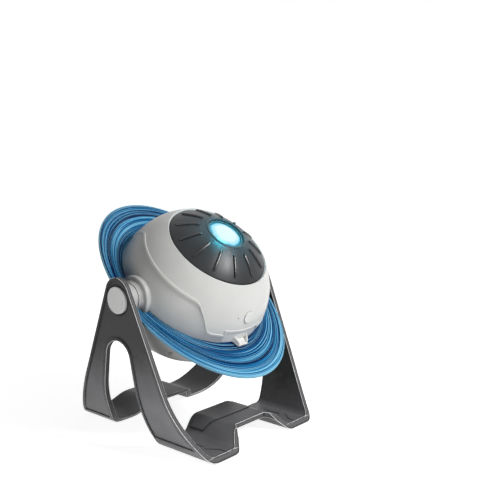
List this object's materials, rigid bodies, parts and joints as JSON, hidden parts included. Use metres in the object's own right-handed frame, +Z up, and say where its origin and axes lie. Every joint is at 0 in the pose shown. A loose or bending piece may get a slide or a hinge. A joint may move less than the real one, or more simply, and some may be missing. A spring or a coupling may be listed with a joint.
{
  "type": "planetarium projector",
  "caption": "Tabletop planetarium projector: a tilting ball with a planet ring, a dark focus cap round the lens and a disc tray, held between the arms of an arched U-shaped stand.",
  "frame": {"origin": "on the table, under the centre of the ball, which is also the middle of the stand", "axes": "+X along the tilt axis towards the right arm as seen from the front, -Y the front, where the lens and the button face, +Z up"},
  "size_m": [0.18, 0.174, 0.1968],
  "materials": {
    "charcoal_plastic": "fine satin, moulded",
    "foot_rubber": "matt",
    "hub_plastic": "satin, moulded",
    "bush_plastic": "smooth",
    "grey_shell_plastic": "satin, moulded",
    "light_shell_plastic": "satin, moulded",
    "tray_plastic": "satin, moulded",
    "ring_plastic": "printed with fine concentric streaks",
    "steel": "zinc plated",
    "black_plastic": "matt, light-tight",
    "clear_lens": "polished",
    "led_resin": "clear resin",
    "metal_core_board": "white solder mask",
    "aluminium": "as extruded",
    "green_board": "solder mask",
    "cell_jacket": "plain printed jacket",
    "contact_metal": "nickel plated",
    "switch_plastic": "moulded",
    "dark_cap_plastic": "satin, moulded",
    "barrel_plastic": "satin, moulded",
    "film": "printed transparency"
  },
  "bodies": {
    "stand": {"stand_frame": "charcoal_plastic", "rubber_feet": "foot_rubber", "left_pivot_cap": "hub_plastic", "right_pivot_cap": "hub_plastic", "pivot_bushes": "bush_plastic"},
    "head": {"lower_shell": "grey_shell_plastic", "middle_shell": "grey_shell_plastic", "upper_shell": "light_shell_plastic", "front_ring_half": "ring_plastic", "rear_ring_half": "ring_plastic", "left_trunnion": "hub_plastic", "right_trunnion": "hub_plastic", "pivot_screws": "steel", "pivot_washers": "steel", "shell_screws": "steel", "chassis": "black_plastic", "lens_tower": "black_plastic", "tower_screws": "steel", "condenser_lens": "clear_lens", "led_emitter": "led_resin", "led_board": "metal_core_board", "heat_sink": "aluminium", "light_screws": "steel", "driver_board": "green_board", "battery_box": "black_plastic", "box_screws": "steel", "aa_cells": "cell_jacket", "battery_contacts": "contact_metal", "battery_springs": "contact_metal", "battery_door": "grey_shell_plastic", "battery_door_screw": "steel", "switch_board": "green_board", "board_screws": "steel", "push_switch": "switch_plastic", "indicator_led": "led_resin"},
    "focus": {"focus_cap": "dark_cap_plastic"},
    "lens": {"lens_barrel": "barrel_plastic", "guide_pins": "steel", "front_lens": "clear_lens", "rear_lens": "clear_lens", "lens_spacer": "black_plastic"},
    "tray": {"disc_tray": "tray_plastic"},
    "disc": {"disc_frame": "black_plastic", "disc_film": "film"},
    "button": {"power_button": "light_shell_plastic", "switch_plunger": "switch_plastic"}
  },
  "joints": [
    {"name": "head_tilt", "type": "hinge", "parent": "stand", "child": "head", "pos_m": [0, 0, 0.127], "axis": [-1, 0, 0], "range_deg": [-51, 129]},
    {"name": "focus_turn", "type": "hinge", "parent": "head", "child": "focus", "pos_m": [0, 0, 0.127], "axis": [0, -0.6293, 0.7771], "range_deg": [-25, 25]},
    {"name": "lens_focus", "type": "slide", "parent": "head", "child": "lens", "axis": [0, -0.6293, 0.7771], "range_m": [-0.002, 0.002]},
    {"name": "tray_slide", "type": "slide", "parent": "head", "child": "tray", "axis": [0, -0.7771, -0.6293], "range_m": [0, 0.085]},
    {"name": "disc_spin", "type": "hinge", "parent": "tray", "child": "disc", "pos_m": [0, 0, 0.127], "axis": [0, -0.6293, 0.7771], "continuous": true},
    {"name": "button_press", "type": "slide", "parent": "head", "child": "button", "axis": [0, 0.9597, 0.2809], "range_m": [0, 0.001], "stiffness_N_per_m": 600, "springref_m": -0.0005}
  ],
  "couplings": [
    {"joint": "lens_focus", "follows": "focus_turn", "m_per_rad": 0.004583}
  ]
}
